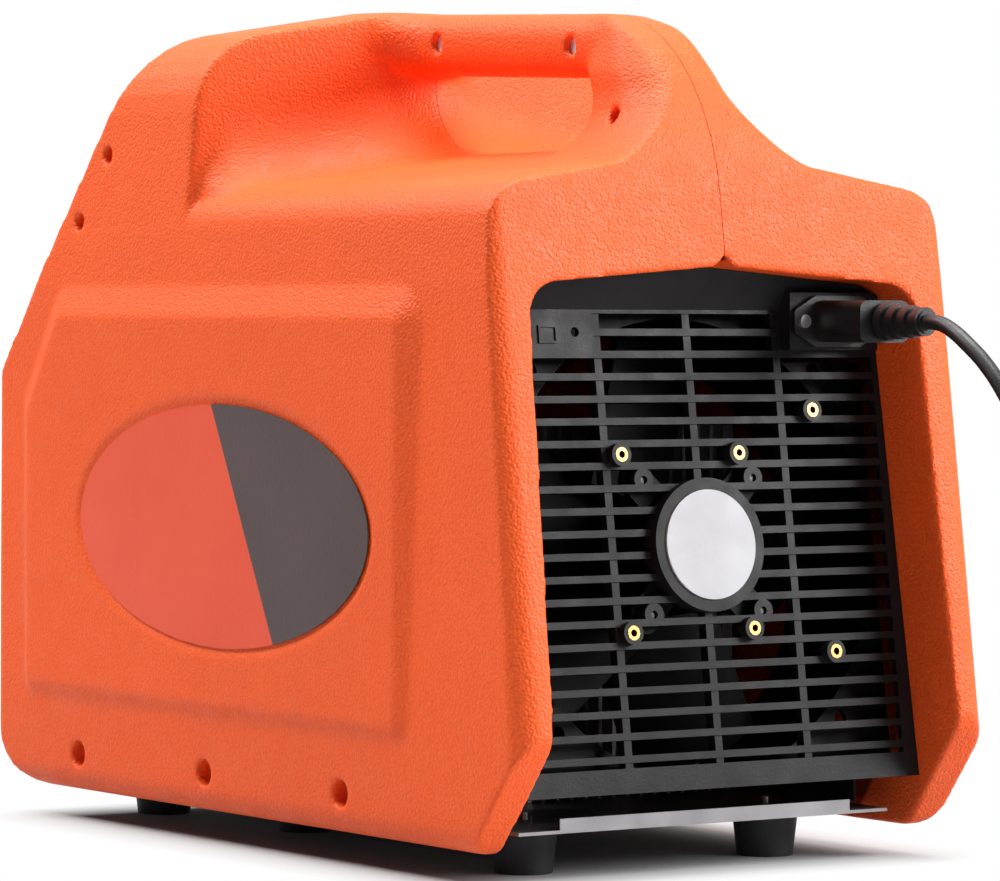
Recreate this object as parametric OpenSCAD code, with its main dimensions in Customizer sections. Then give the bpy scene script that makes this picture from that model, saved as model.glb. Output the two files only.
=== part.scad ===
// Portable refrigerant recovery machine: two moulded case shells with a carrying handle, a fan end with a
// grille and a power inlet, a control end with gauges and valves, and the compressor set between them.
// X runs across, +Y points to the fan end and +Z up. The origin is on the floor under the middle of the case.

/* [Case] */
// Width of the two shells together, without the raised side pads
body_w = 262; // [252:1:276]
// Length of the shells
body_l = 462; // [445:1:490]
// Height of the handle at its front end
body_h = 396; // [387:1:410]
// Wall of the moulded shells
wall_t = 3; // [2:0.5:4]
// Height of the shells' lower edge above the floor
skirt_z = 15; // [12:1:18]
// How far each side leans in from the skirt to the waist
draft = 4; // [2:0.5:6]
// Lean of the fan end, in degrees
lean = 8; // [5:1:10]
// Width of the rim beside the end openings
rim_w = 20; // [16:1:24]
// Depth from the rim of the fan end to the grille
rim_depth = 32; // [26:1:36]
// How far the side pads stand proud
pad_h = 2.5; // [1.5:0.5:4]
// Depth of the oval label recess
label_t = 0.8; // [0.5:0.1:1.2]

/* [Handle] */
// Height of the grip bar
bar_h = 30; // [27:1:33]
// Width of the grip bar
bar_w = 34; // [30:1:40]
// Height of the finger gap under the bar
grip_h = 39; // [35:1:43]
// Width of the post behind the grip, at its rear
post_w = 60; // [56:1:64]
// Width of the post at its front
post_nose = 36; // [29:1:36]
// Depth of the post behind the grip
post_d = 60; // [54:1:64]

/* [Fan end] */
// Pitch of the grille bars
bar_pitch = 9.95; // [9:0.05:11]
// Thickness of a grille bar
slat_t = 3.2; // [2.6:0.1:4]
// Depth of a grille bar
slat_d = 6; // [5:0.5:8]
// Distance between the grille's upright ribs
rib_gap = 50; // [44:1:54]
// Radius of the pale disc in the middle of the grille
disc_r = 24.6; // [22:0.2:26]
// Gap between the blade tips and the shroud
tip_gap = 4; // [3:0.5:6]
// Number of fan blades
blade_n = 5; // [4:1:6]
// Radius of the fan's hub
hub_r = 27; // [24:1:30]
// Radius of the fan motor
fan_motor_r = 29; // [26:1:32]
// Radius of the fan shaft
fan_shaft_r = 4; // [3:0.5:5]
// Outer radius of a threaded insert
insert_r = 3.2; // [2.8:0.1:3.6]
// Radius of the thread in an insert
insert_thread_r = 1.65; // [1.4:0.05:2]

/* [Base] */
// Height of a rubber foot
foot_h = 22; // [18:1:25]
// Radius of a foot at its top
foot_r = 15.5; // [13:0.5:17]
// Thickness of the base plate
plate_t = 1.5; // [1:0.25:2.5]

/* [Controls] */
// Radius of a gauge's case
gauge_r = 32; // [28:1:35]
// Radius of a valve knob
knob_r = 17; // [14:1:20]
// Radius of the mode knob
mode_r = 21; // [18:1:24]
// Height of the knobs
knob_h = 20; // [16:1:24]
// Radius of a hose port's thread
port_r = 5.55; // [4.5:0.05:6]
// Length of a hose port's thread
port_l = 13; // [10:1:15]
// Wall of the front panel
panel_t = 3; // [2:0.5:4]

/* [Inside] */
// Radius of the compressor motor
motor_r = 50; // [44:1:54]
// Length of the compressor motor
motor_l = 84; // [76:1:90]
// Radius of a compressor cylinder
cyl_r = 23; // [20:1:26]
// Radius of the copper lines
line_r = 3.2; // [2.5:0.1:4]

/* [Cord] */
// Diameter of the power cord
cord_d = 7; // [6:0.5:8]

/* [Hidden] */
$fn = 64;

// General clearances: seats between fixed pieces, and round a turning shaft
fit = 0.3;
seat = 0.1;
run_fit = 0.05;
far = 900;
half_w = body_w / 2;
half_l = body_l / 2;
seam_gap = 0.4;

// Side outline of the case
face_h = body_h - 182;
front_slope = 37.2;
crest_y = -half_l + (body_h - face_h) * tan(front_slope);
top_drop = 11;
saddle_z = body_h - 2 - bar_h - grip_h;
shoulder_z = saddle_z - 21;
waist_z = saddle_z - 63;
kink_z = saddle_z + 6;
heel_z = 65;
heel_run = 38;
post_lean = 38;
kink_y = half_l - (kink_z - heel_z) * tan(lean);
post_top_y = kink_y - (body_h - top_drop - kink_z) * tan(post_lean);
bar_tilt = atan(top_drop / (post_top_y - crest_y));
post_edge = (body_h - top_drop - kink_z) / cos(post_lean);
kink_r = 0.42 * post_edge / tan((post_lean - lean) / 2);
post_top_r = 0.55 * post_edge / tan((90 - post_lean - bar_tilt) / 2);
edge_r = 14;
side_x = half_w - draft;

// Rear wall of the block in front of the grip, and the scoop between it and the post
block_t = 41;
wall_sweep = 24;
wall_side_x = side_x - 3;
wall_side_y = crest_y + block_t;
wall_mid_y = wall_side_y + wall_sweep;
wall_turn = atan(wall_sweep / wall_side_x);
block_in = 8;
block_drop = 19;
shoulder_x = side_x - block_in / 3;
shoulder_r = 20;
roof_fall = (saddle_z - shoulder_z) / shoulder_x;
saddle_r = 36;
root_r = 32;
blend_sink = 1.2;
bar_low_r = 13;
bar_top_r = 12;

// Post behind the grip: it leans in as it rises and flares at its foot, most of all towards the grip
post_cut = 1.5;
post_y = kink_y + post_cut;
post_taper = 14;
flare_r = 34;
foot_stretch = 0.24;
flare_steps = 6;

// Openings at the two ends
open_low = half_w - rim_w + 3;
open_top = half_w - rim_w - 4;
shroud_r = open_top - 1.5;
deck_z = foot_h + plate_t;
fan_lift = 17;
fan_z = deck_z + fan_lift + shroud_r;
open_z = fan_z + shroud_r + 10.5;
roof_rise = 8.5;
notch_r = 9;
fan_y = half_l - (fan_z - heel_z) * tan(lean) - rim_depth / cos(lean);
flange_d = rim_depth + 9;
front_half = half_w - rim_w - 7;
front_open_z = body_h - 30;

// Side pad and its oval label
pad_low = 52;
pad_front = -half_l + 26;
pad_rear = half_l - 79;
pad_bevel = 15;
pad_x = half_w + pad_h;
label_a = 127.5;
label_b = 57;
label_y = -10;
label_z = (pad_low + waist_z) / 2 - 7;

// Case screws: a row along the skirt, two by the front slope and three through the handle
cup_d = 14;
cup_r = 6.2;
small_cup_r = 4.2;
screw_r = 2;
screw_hole_r = 2.3;
head_r = 3.8;
head_h = 2.8;
skirt_screw_z = deck_z + 10.3;
skirt_screw_y = [-half_l + 86.5, -half_l + 204, -half_l + 321];
slope_screws = [[-half_l + 76.6, face_h + 78.7], [-half_l + 100.4, face_h + 111]];
bar_screws = [[wall_mid_y + 25, body_h - 19], [post_top_y - 45.4, body_h - 24.5]];
post_screw = [kink_y - 36, kink_z + 6];
bar_cup_x = bar_w / 2 - 6;
post_cup_x = post_w / 2 - 16;
skirt_cup_x = half_w - cup_d;
slope_cup_x = front_half + 2 * wall_t;

// Grille
slat_top = shroud_r - 19.5;
slat_n = floor((2 * shroud_r - 31) / bar_pitch) + 1;
slat_low = slat_top - (slat_n - 1) * bar_pitch;
panel_top = shroud_r + 3.5;
rail_h = 11;
rail_top = slat_low - 4;
rail_low = rail_top - rail_h;
grille_t = 3;
pad_ring_r = disc_r + 5.4;
boss_r = insert_r + 2;
boss_h = 4;
insert_spots = [[-44.5, 41], [20.7, 41], [-45.5, -38], [21.7, -38], [64.6, 60], [67, -50]];
frame_x = -77;
corner_hole = [79, 80];
ear_x = 30.5;
ear_y = 30;
inlet_x = open_top - 29;
inlet_v = panel_top - 9;
inlet_box_w = 51;
inlet_box_h = 26;
inlet_box_d = 8;
inlet_pitch = 40;

// Fan, its motor and its shroud, measured inwards from the grille's face
shroud_face = -slat_d - 6;
shroud_t = 2.5;
shroud_depth = 60;
motor_front = -slat_d - fit;
fan_motor_l = 36;
fan_face = motor_front - fan_motor_l - 4;
fan_w = 28;
fan_r = shroud_r - 2 - tip_gap;

// Base plate
plate_half = skirt_cup_x - wall_t - fit;
plate_rear = half_l - 40;
plate_front = -half_l + 44;
tongue = 36;
tongue_half = open_top - 4;
lip_half = 81;
lip_h = 6.5;
flange_h = 20;
foot_x = 68;
foot_spots = [
    [foot_x, half_l - 86], [-foot_x, half_l - 86],
    [foot_x - 14, -half_l + 174], [-foot_x + 14, -half_l + 174],
    [foot_x, -half_l + 64], [-foot_x, -half_l + 64]
];

// Control end
recess = 8;
face_d = 38;
face_y = -half_l + face_d;
step_z = face_h + 9;
panel_low_z = deck_z + fit;
slope_z = (face_h + front_open_z) / 2 + 10;
slope_y = -half_l + recess + (slope_z - face_h) * tan(front_slope);
slope_a = 90 - front_slope;
gauge_x = gauge_r + 12;
gauge_u = 20;
gauge_d = 24;
bezel_h = 5;
dial_t = 1;
switch_x = 46;
switch_u = -58;
rocker_a = 9;
port_x = front_half - 42;
port_z = step_z - 133.5;
valve_z = port_z + 48;
mode_z = valve_z + 22;
block_w = 2 * port_x + 32;
block_low = port_z - 20;
block_top = mode_z + 20;
block_d = 24;
stem_r = 4;

// Compressor set
comp_y = face_y + panel_t + fit + block_d + 6;
tray_z = deck_z + 16;
tray_t = 2;
mount_r = 9;
axis_z = tray_z + tray_t + motor_r + 6;
case_l = 66;
case_w = 96;
tray_half = case_w / 2 + 10;
case_y = comp_y + motor_l + fit;
cyl_l = 44;
cyl_base = 40;
head_w = 56;
head_t = 18;
condenser_y = fan_y - 125;
condenser_t = 26;
condenser_w = 184;
condenser_h = 176;
fin_gap = 8;
tube_r = 4;
line_x = 80;
block_back = face_y + panel_t + fit + block_d + seat;
head_y = case_y + case_l / 2;
head_mid = (cyl_base + cyl_l + 2 * fit + head_t / 2) / sqrt(2);
cap_r = 17.5;
cap_l = 66;
cap_x = (tray_half + plate_half - plate_t) / 2;
cap_y = comp_y + 44;
clamp_t = 1.5;

// Power connector, cord and coil
plug_w = 28;
plug_h = 19;
plug_l = 33;
relief_l = 30;
flange_t = 3;
inlet_d = 26;
socket_d = 16;
pin_spots = [[-7, -1.5], [7, -1.5], [0, 2.5]];
cord_r = cord_d / 2;
cord_points = [
    [-78, 247.7, 246.1], [-78, 252, 246], [-78, 258, 245], [-78, 266, 241.8], [-78, 275, 236.5],
    [-79, 286, 228],
    [-80, 298, 215], [-82, 309, 197], [-84, 318, 173], [-86, 325, 145], [-88, 330, 115], [-90, 334, 85],
    [-92, 338, 58], [-94, 344, 34], [-97, 354, 15], [-99, 366, 6], [-100.3, 378, 4]
];
coil_c = [-150, 378];
coil_turn_r = 39;
coil_h = 2 * cord_d;
coil_band = 2 * cord_d;
tail_points = [
    [-199.7, 378, 11], [-199.7, 360, 11.5], [-199.7, 340, 14], [-199.7, 322, 17.5], [-199.7, 308, 18.8],
    [-199.7, 294, 18.8]
];
mains_r = 18.5;
mains_l = 38;

// Points of an arc that rounds the corner b between a and c
function unit(v) = v / norm(v);
function corner(a, b, c, r) =
    let (u = unit(a - b), w = unit(c - b), half = acos(u * w) / 2)
    r == 0 || half > 89 ? [b] :
    let (
        run = r / tan(half),
        o = b + unit(u + w) * r / sin(half),
        p = b + u * run - o,
        q = b + w * run - o,
        turn = 180 - 2 * half,
        side = sign(p.x * q.y - p.y * q.x),
        start = atan2(p.y, p.x),
        n = max(2, ceil(turn / 15), ceil(turn * r / 900))
    )
    [for (i = [0:n]) o + r * [cos(start + side * turn * i / n), sin(start + side * turn * i / n)]];

// Outline from [x, y, corner radius] points, counter-clockwise
function outline(p) = [
    for (i = [0:len(p) - 1])
        let (a = p[(i + len(p) - 1) % len(p)], b = p[i], c = p[(i + 1) % len(p)])
        each corner([a.x, a.y], [b.x, b.y], [c.x, c.y], b.z)
];

// The outline moved inwards by d
function inset(p, d) = d == 0 ? p : [
    for (i = [0:len(p) - 1])
        let (
            e = unit(p[i] - p[(i + len(p) - 1) % len(p)]),
            f = unit(p[(i + 1) % len(p)] - p[i]),
            m = [-e.y, e.x],
            n = [-f.y, f.x]
        )
        p[i] + d * (m + n) / (1 + m * n)
];

// A right half from bottom to top, with its mirror image
function both(h) = concat(h, [for (i = [len(h) - 1:-1:0]) if (h[i].x > 0) [-h[i].x, h[i].y, h[i].z]]);
function ellipse(a, b, n = 48) = [for (i = [0:n - 1]) [a * cos(360 * i / n), b * sin(360 * i / n)]];
function box_outline(w, h, r) =
    outline([[w / 2, -h / 2, r], [w / 2, h / 2, r], [-w / 2, h / 2, r], [-w / 2, -h / 2, r]]);

side_profile = outline([
    [-half_l, skirt_z, 48], [half_l - heel_run, skirt_z, 10], [half_l, heel_z, edge_r],
    [kink_y, kink_z, kink_r], [post_top_y, body_h - top_drop, post_top_r],
    [crest_y, body_h, edge_r], [-half_l, face_h, 30]
]);
block_section = outline(both([
    [half_w, skirt_z, 12], [side_x, waist_z, 0],
    [side_x - block_in, body_h - block_drop, 42], [0, body_h + 1, 0]
]));
rear_section = outline(both([
    [half_w, skirt_z, 12], [side_x, waist_z, 0], [shoulder_x, shoulder_z, shoulder_r], [0, saddle_z, 0]
]));
block_plan = outline(both([
    [half_w + edge_r, -half_l - edge_r, 0], [half_w + edge_r, wall_side_y - 32, 0],
    [wall_side_x, wall_side_y, edge_r], [0, wall_mid_y, 0]
]));
bar_section = outline(both([[bar_w / 2, -bar_h, bar_low_r], [bar_w / 2, -0.5, bar_top_r]]));
root_section = outline([
    [root_r, -bar_h, bar_low_r], [root_r + bar_w / 2, -bar_h, 0],
    [root_r + bar_w / 2, -0.5, 0], [root_r, -0.5, bar_top_r]
]);
post_plan = outline(both([[post_nose / 2, -post_d, post_nose / 2 - 0.2], [post_w / 2, 0, 22]]));
post_section = outline(both([
    [half_w, -far, 0], [half_w, -bar_h - 46, 0], [post_w / 2, -bar_h - 12, 0], [post_w / 2, -0.5, 20]
]));
end_plan = outline([
    [half_w, -far, 0], [half_w, 0.2, edge_r], [-half_w, 0.2, edge_r], [-half_w, -far, 0]
]);
rear_open = outline(both([[open_low, -5, 0], [open_top, open_z, 16], [0, open_z + roof_rise, 0]]));
front_open = outline(both([[open_low, -5, 0], [front_half, front_open_z, 22]]));
pad_outline = outline([
    [pad_front, pad_low, 18], [pad_rear, pad_low, 18], [pad_rear, waist_z, 18],
    [pad_front + 36, waist_z, 18], [pad_front, waist_z - 57, 18]
]);

// Extrusions along the three axes
module along_x(x0, x1) {
    translate([x0, 0, 0]) rotate([90, 0, 90]) linear_extrude(x1 - x0) children();
}
module along_y(y0, y1) {
    translate([0, y1, 0]) rotate([90, 0, 0]) linear_extrude(y1 - y0) children();
}
module rod_x(x0, x1, y, z, r) {
    translate([x0, y, z]) rotate([0, 90, 0]) cylinder(h = x1 - x0, r = r);
}

// Places: on the grille seen from outside, on the upright face of the power inlet's housing, on the sloped
// panel and on the upright panel
module on_fan_end() {
    translate([0, fan_y, fan_z]) rotate([lean - 90, 0, 0]) rotate([0, 0, 180]) children();
}
module on_inlet() {
    on_fan_end() translate([inlet_x, inlet_v, inlet_box_d]) rotate([lean, 0, 0]) children();
}
module on_slope() {
    translate([0, slope_y, slope_z]) rotate([slope_a, 0, 0]) children();
}
module on_face() {
    translate([0, face_y, 0]) rotate([90, 0, 0]) children();
}

// Pan-head screw along -Z, with the underside of its head at the origin
module screw(length, r = screw_r, head = head_r, tall = head_h) {
    cylinder(h = tall, r = head);
    translate([0, 0, -length]) cylinder(h = length + 0.1, r = r);
}

// Solid through a list of rings that have the same number of points, clockwise about the way they follow
module loft(rings) {
    n = len(rings);
    m = len(rings[0]);
    walls = [
        for (i = [0:n - 2], k = [0:m - 1])
            let (a = i * m + k, b = i * m + (k + 1) % m)
            each [[a, b, b + m], [a, b + m, a + m]]
    ];
    first = [for (k = [m - 1:-1:0]) k];
    last = [for (k = [0:m - 1]) (n - 1) * m + k];
    polyhedron([for (r = rings) each r], concat([first], walls, [last]));
}

// Outer form of the case, moved inwards by d
module case_solid(d) {
    intersection() {
        union() {
            intersection() {
                along_y(-far, far) polygon(inset(block_section, d));
                linear_extrude(far) polygon(inset(block_plan, d));
            }
            along_y(-far, far) polygon(inset(rear_section, d));
            grip_bar(d);
            grip_post(d);
            if (d == 0) {
                saddle_blend();
                bar_root();
            }
        }
        along_x(-far, far) polygon(inset(side_profile, d));
        translate([0, half_l, heel_z]) rotate([lean, 0, 0]) translate([0, 0, -far / 2])
            linear_extrude(2 * far) polygon(inset(end_plan, d));
        translate([0, -half_l, 0]) rotate([0, 0, 180]) linear_extrude(far) polygon(inset(end_plan, d));
    }
}
module on_bar() {
    translate([0, crest_y, body_h]) rotate([-bar_tilt, 0, 0]) children();
}
module grip_bar(d) {
    on_bar() along_y(block_t / 2, post_top_y - crest_y) polygon(inset(bar_section, d));
}

// Fillets between the bar's sides and the block
module bar_root() {
    x = bar_w / 2 + root_r;
    y = wall_mid_y - x * tan(wall_turn) + root_r / cos(wall_turn);
    intersection() {
        along_y(-far, far) polygon(block_section);
        on_bar() for (s = [0, 1]) mirror([s, 0, 0]) translate([x, y - crest_y, 0]) rotate([0, 0, 180])
            rotate_extrude(angle = 90) polygon(root_section);
    }
}

// One ring of the post at a height, grown outwards and set in by d, with its sides falling as the roof does
function post_ring(z, grow, fall, d) =
    let (
        plan = inset(post_plan, d - grow),
        stretch = 1 + foot_stretch * max(grow, 0) / flare_r,
        y = post_y - (max(z, saddle_z) - kink_z) * tan(post_lean) + 0.75 * max(-grow, 0)
    )
    [for (i = [len(plan) - 1:-1:0]) [plan[i].x, plan[i].y * stretch + y, z - fall * abs(plan[i].x)]];
module grip_post(d) {
    foot = saddle_z - 1;
    intersection() {
        loft(concat(
            [post_ring(foot - flare_r, flare_r, 0, d)],
            [for (i = [0:flare_steps])
                let (a = 90 * i / flare_steps, fall = roof_fall * (1 - i / flare_steps))
                post_ring(foot + flare_r * (1 - cos(a)), flare_r * (1 - sin(a)), fall, d)],
            [post_ring(body_h, -post_taper, 0, d)]
        ));
        on_bar() along_y(0, far) polygon(inset(post_section, d));
    }
}

// Hollow fillet between the block's rear wall and the floor of the scoop, rounded off at the sides
module saddle_blend() {
    fall = atan(roof_fall);
    reach = (shoulder_x + 2 - saddle_r * sin(wall_turn)) / cos(wall_turn) / cos(fall);
    intersection() {
        along_y(-far, far) polygon(block_section);
        for (s = [0, 1]) mirror([s, 0, 0]) translate([0, wall_mid_y, saddle_z - blend_sink])
            rotate([0, fall, -wall_turn]) translate([0, saddle_r, saddle_r])
                rotate([0, 90, 0]) rotate([0, 0, -90]) rotate_extrude(angle = 90) polygon(outline([
                    [saddle_r, -5, 0], [2 * saddle_r, -5, 0],
                    [2 * saddle_r, reach, 0], [saddle_r, reach, shoulder_r]
                ]));
    }
}

// Hollow case with its end openings, before it is split
module case_walls() {
    difference() {
        case_solid(0);
        case_solid(wall_t);
        translate([-open_low, -far / 2, -1]) cube([2 * open_low, far, skirt_z + wall_t + 1.01]);
        along_y(fan_y - 60, far) polygon(rear_open);
        along_y(fan_y, far) seam_notch();
        along_y(-far, wall_side_y - 30) polygon(front_open);
    }
    rear_flange();
}
module seam_notch() {
    low = open_z + roof_rise * (1 - notch_r / open_top);
    difference() {
        translate([-notch_r, low - 2]) square([2 * notch_r, notch_r + 2]);
        for (s = [-1, 1]) translate([s * notch_r, low + notch_r]) circle(r = notch_r);
    }
}
module rear_flange() {
    difference() {
        intersection() {
            along_y(fan_y - 60, far) difference() {
                polygon(inset(rear_open, -wall_t));
                polygon(rear_open);
            }
            along_x(-half_w, half_w) polygon(side_profile);
        }
        translate([0, -flange_d / cos(lean), 0]) along_x(-far, far) polygon(side_profile);
        along_y(fan_y, far) seam_notch();
    }
}
module side_pad() {
    hull() {
        along_x(side_x - 1, side_x) polygon(pad_outline);
        along_x(pad_x - 1, pad_x) polygon(inset(pad_outline, pad_bevel));
    }
}

// Cups that carry the case screws
module cup(x, y, z, r) {
    rod_x(x - wall_t, far, y, z, r + 2.5);
}
module cup_bore(x, y, z, r) {
    rod_x(x, far, y, z, r);
    rod_x(-0.1, x + 1, y, z, screw_hole_r);
}
module side_cups() {
    for (y = skirt_screw_y) cup(skirt_cup_x, y, skirt_screw_z, cup_r);
    for (p = slope_screws) cup(slope_cup_x, p.x, p.y, small_cup_r);
}
module side_cup_bores() {
    for (y = skirt_screw_y) cup_bore(skirt_cup_x, y, skirt_screw_z, cup_r);
    for (p = slope_screws) cup_bore(slope_cup_x, p.x, p.y, small_cup_r);
}
module tie_bosses(r) {
    for (p = bar_screws) rod_x(seam_gap / 2, far, p.x, p.y, r);
    rod_x(seam_gap / 2, far, post_screw.x, post_screw.y, r);
}
module tie_bores() {
    for (p = bar_screws) cup_bore(bar_cup_x, p.x, p.y, small_cup_r);
    cup_bore(post_cup_x, post_screw.x, post_screw.y, small_cup_r);
}

// One shell on the +X side; the left one takes the screws through the handle and the label
module shell(left) {
    difference() {
        union() {
            intersection() {
                union() {
                    case_walls();
                    intersection() {
                        case_solid(0);
                        union() {
                            side_cups();
                            tie_bosses(small_cup_r + 2.2);
                        }
                    }
                }
                translate([seam_gap / 2, -far / 2, 0]) cube([far, far, far]);
            }
            side_pad();
        }
        side_cup_bores();
        if (left) {
            tie_bores();
            translate([pad_x - label_t, label_y, label_z]) rotate([90, 0, 90])
                linear_extrude(far) polygon(ellipse(label_a, label_b));
        } else {
            for (p = concat(bar_screws, [post_screw])) rod_x(0, 13, p.x, p.y, screw_hole_r);
        }
    }
}
module left_shell() {
    color("orangered") shell(true);
}
module right_shell() {
    color("orangered") mirror([1, 0, 0]) shell(false);
}
module side_label() {
    play = 0.4;
    color("dimgray") translate([pad_x - label_t, label_y, label_z]) rotate([90, 0, 90])
        linear_extrude(label_t - 0.2) polygon(ellipse(label_a - play, label_b - play));
}
module shell_screws() {
    color("silver") {
        for (s = [0, 1]) mirror([s, 0, 0]) {
            for (y = skirt_screw_y) case_screw(skirt_cup_x, y, skirt_screw_z, 11);
            for (p = slope_screws) case_screw(slope_cup_x, p.x, p.y, 12);
        }
        for (p = bar_screws) case_screw(bar_cup_x, p.x, p.y, bar_cup_x + 10);
        case_screw(post_cup_x, post_screw.x, post_screw.y, post_cup_x + 10);
    }
}
module case_screw(x, y, z, length) {
    translate([x + 0.05, y, z]) rotate([0, 90, 0]) screw(length);
}

// Grille panel, cut to the opening of the case
module rear_grille() {
    half = open_low;
    color("dimgray") difference() {
        intersection() {
            along_y(-far, far) polygon(inset(rear_open, fit));
            union() {
                on_fan_end() {
                    grille_plate();
                    slats();
                    grille_bosses();
                }
                on_inlet() translate([-inlet_box_w / 2, -inlet_box_h / 2, -inlet_box_d - grille_t - 1])
                    cube([inlet_box_w, inlet_box_h, inlet_box_d + grille_t + 1]);
                grille_band();
            }
        }
        on_fan_end() grille_holes();
        on_inlet() {
            translate([-14, -10, -far / 2]) cube([28, 20, far]);
            for (s = [-1, 1]) translate([s * inlet_pitch / 2, 0, -20]) cylinder(h = 40, r = 1.8);
        }
        translate([-half, -far / 2, 0]) cube([2 * half, far, deck_z + lip_h + 2]);
    }
}
module grille_plate() {
    upper_l = -rib_gap - 2;
    upper_r = inlet_x - inlet_box_w / 2 - 2;
    difference() {
        translate([-half_w, rail_low, -grille_t]) cube([body_w, panel_top - rail_low, grille_t]);
        translate([-open_top + 2.5, rail_top, -grille_t - 1])
            cube([2 * open_top - 5, slat_top + slat_t / 2 - rail_top, grille_t + 2]);
        translate([upper_l, slat_top - 1, -grille_t - 1])
            cube([upper_r - upper_l, panel_top - 3 - slat_top + 1, grille_t + 2]);
    }
    translate([-half_w, rail_low, -slat_d]) cube([body_w, rail_h, slat_d]);
    translate([frame_x, slat_top + 9, -1]) linear_extrude(1.8) difference() {
        square([10, 8], center = true);
        square([8, 6], center = true);
    }
}
module slats() {
    upper_l = -rib_gap - 2;
    upper_r = inlet_x - inlet_box_w / 2 - 1;
    for (i = [0:slat_n - 1])
        translate([-half_w, slat_top - i * bar_pitch - slat_t / 2, -slat_d]) cube([body_w, slat_t, slat_d]);
    for (i = [1:2])
        translate([upper_l, slat_top + i * bar_pitch - slat_t / 2, -slat_d])
            cube([upper_r - upper_l, slat_t, slat_d]);
    for (x = [-rib_gap, 0, rib_gap])
        translate([x - 2, rail_top - 1, -slat_d]) cube([4, panel_top - rail_top, slat_d - 0.8]);
}
module grille_bosses() {
    for (p = insert_spots) translate([p.x, p.y, -slat_d]) cylinder(h = slat_d + boss_h, r = boss_r);
    for (x = [-1, 1], y = [-1, 1])
        translate([x * ear_x, y * ear_y, -slat_d]) cylinder(h = slat_d, r = boss_r);
    translate([0, 0, -slat_d]) cylinder(h = slat_d + 4.6, r = pad_ring_r);
}
module grille_holes() {
    for (p = insert_spots) translate([p.x, p.y, -far / 2]) cylinder(h = far, r = insert_r + 0.02);
    for (x = [-1, 1], y = [-1, 1]) translate([x * ear_x, y * ear_y, -slat_d - 1]) cylinder(h = 20, r = 1.8);
    translate([0, 0, 2]) cylinder(h = 20, r = disc_r + fit);
    for (p = shroud_posts()) translate([p.x, p.y, -20]) cylinder(h = 20 - 0.8, r = 1.8);
    translate([frame_x + 15, slat_top + 10, -20]) cylinder(h = 40, r = 2.2);
}
module grille_band() {
    on_fan_end() translate([-half_w, panel_top - grille_t, 0]) rotate([38, 0, 0]) translate([0, 0, -grille_t])
        cube([body_w, 44, grille_t]);
}
function shroud_posts() = [
    [-84, panel_top - 8], [inlet_x - inlet_box_w / 2 + 5, panel_top - 5],
    [-80, rail_top - rail_h / 2], [80, rail_top - rail_h / 2]
];
module hub_disc() {
    color("whitesmoke") on_fan_end() translate([0, 0, 2.3]) cylinder(h = 3.2, r = disc_r);
}
module brass_inserts() {
    insert_l = slat_d + boss_h + 0.2;
    color("goldenrod") on_fan_end() for (p = insert_spots) translate([p.x, p.y, -slat_d]) difference() {
        cylinder(h = insert_l, r = insert_r);
        translate([0, 0, -1]) cylinder(h = insert_l + 2, r = insert_thread_r);
    }
}

// Shroud round the fan, screwed to the back of the grille
module fan_shroud() {
    plate_w = 2 * open_top - 1;
    color("dimgray") on_fan_end() difference() {
        union() {
            translate([-plate_w / 2, rail_low + 1, shroud_face - shroud_t])
                cube([plate_w, panel_top - rail_low - 2, shroud_t]);
            translate([0, 0, shroud_face - shroud_depth]) cylinder(h = shroud_depth, r = shroud_r);
            for (p = shroud_posts())
                translate([p.x, p.y, shroud_face - 0.1])
                    cylinder(h = -shroud_face - post_seat(p) + 0.1, r = 4.2);
        }
        translate([0, 0, shroud_face - shroud_depth - 1]) cylinder(h = shroud_depth + 2, r = shroud_r - 2);
        for (x = [-1, 1], y = [-1, 1])
            translate([x * corner_hole.x, y * corner_hole.y, shroud_face - 10]) cylinder(h = 20, r = 3.4);
        translate([inlet_x - 17, inlet_v - 16, shroud_face - 10]) cube([far, far, 20]);
        for (p = shroud_posts()) translate([p.x, p.y, -far / 2]) cylinder(h = far, r = 1.8);
    }
}
function post_seat(p) = (p.y < 0 ? slat_d : grille_t) + fit;
module shroud_screws() {
    color("silver") on_fan_end() for (p = shroud_posts())
        translate([p.x, p.y, shroud_face - shroud_t - 0.05]) rotate([180, 0, 0]) screw(11, 1.5, 3.2, 2.2);
}

// Fan motor on the back of the grille
module fan_motor() {
    color("gray") on_fan_end() difference() {
        union() {
            translate([0, 0, motor_front - fan_motor_l]) cylinder(h = fan_motor_l, r = fan_motor_r);
            for (a = [0:90:270]) rotate([0, 0, a]) motor_arm();
        }
        translate([0, 0, motor_front - fan_motor_l - 1]) cylinder(h = 21, r = fan_shaft_r + run_fit);
        for (x = [-1, 1], y = [-1, 1]) translate([x * ear_x, y * ear_y, -far / 2]) cylinder(h = far, r = 2.2);
    }
}
module motor_arm() {
    reach = norm([ear_x, ear_y]);
    rotate([0, 0, atan2(ear_y, ear_x)]) translate([0, 0, motor_front - 3]) {
        translate([0, -8, 0]) cube([reach, 16, 3]);
        translate([reach, 0, 0]) cylinder(h = 3, r = 8);
    }
}
module motor_screws() {
    color("silver") on_fan_end() for (x = [-1, 1], y = [-1, 1])
        translate([x * ear_x, y * ear_y, motor_front - 3.05]) rotate([180, 0, 0]) screw(8, 1.5, 3.4, 2.2);
}
module fan_shaft() {
    top = motor_front - fan_motor_l + 18;
    color("silver") on_fan_end()
        translate([0, 0, fan_face - fan_w - 3]) cylinder(h = top - fan_face + fan_w + 3, r = fan_shaft_r);
}
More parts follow.
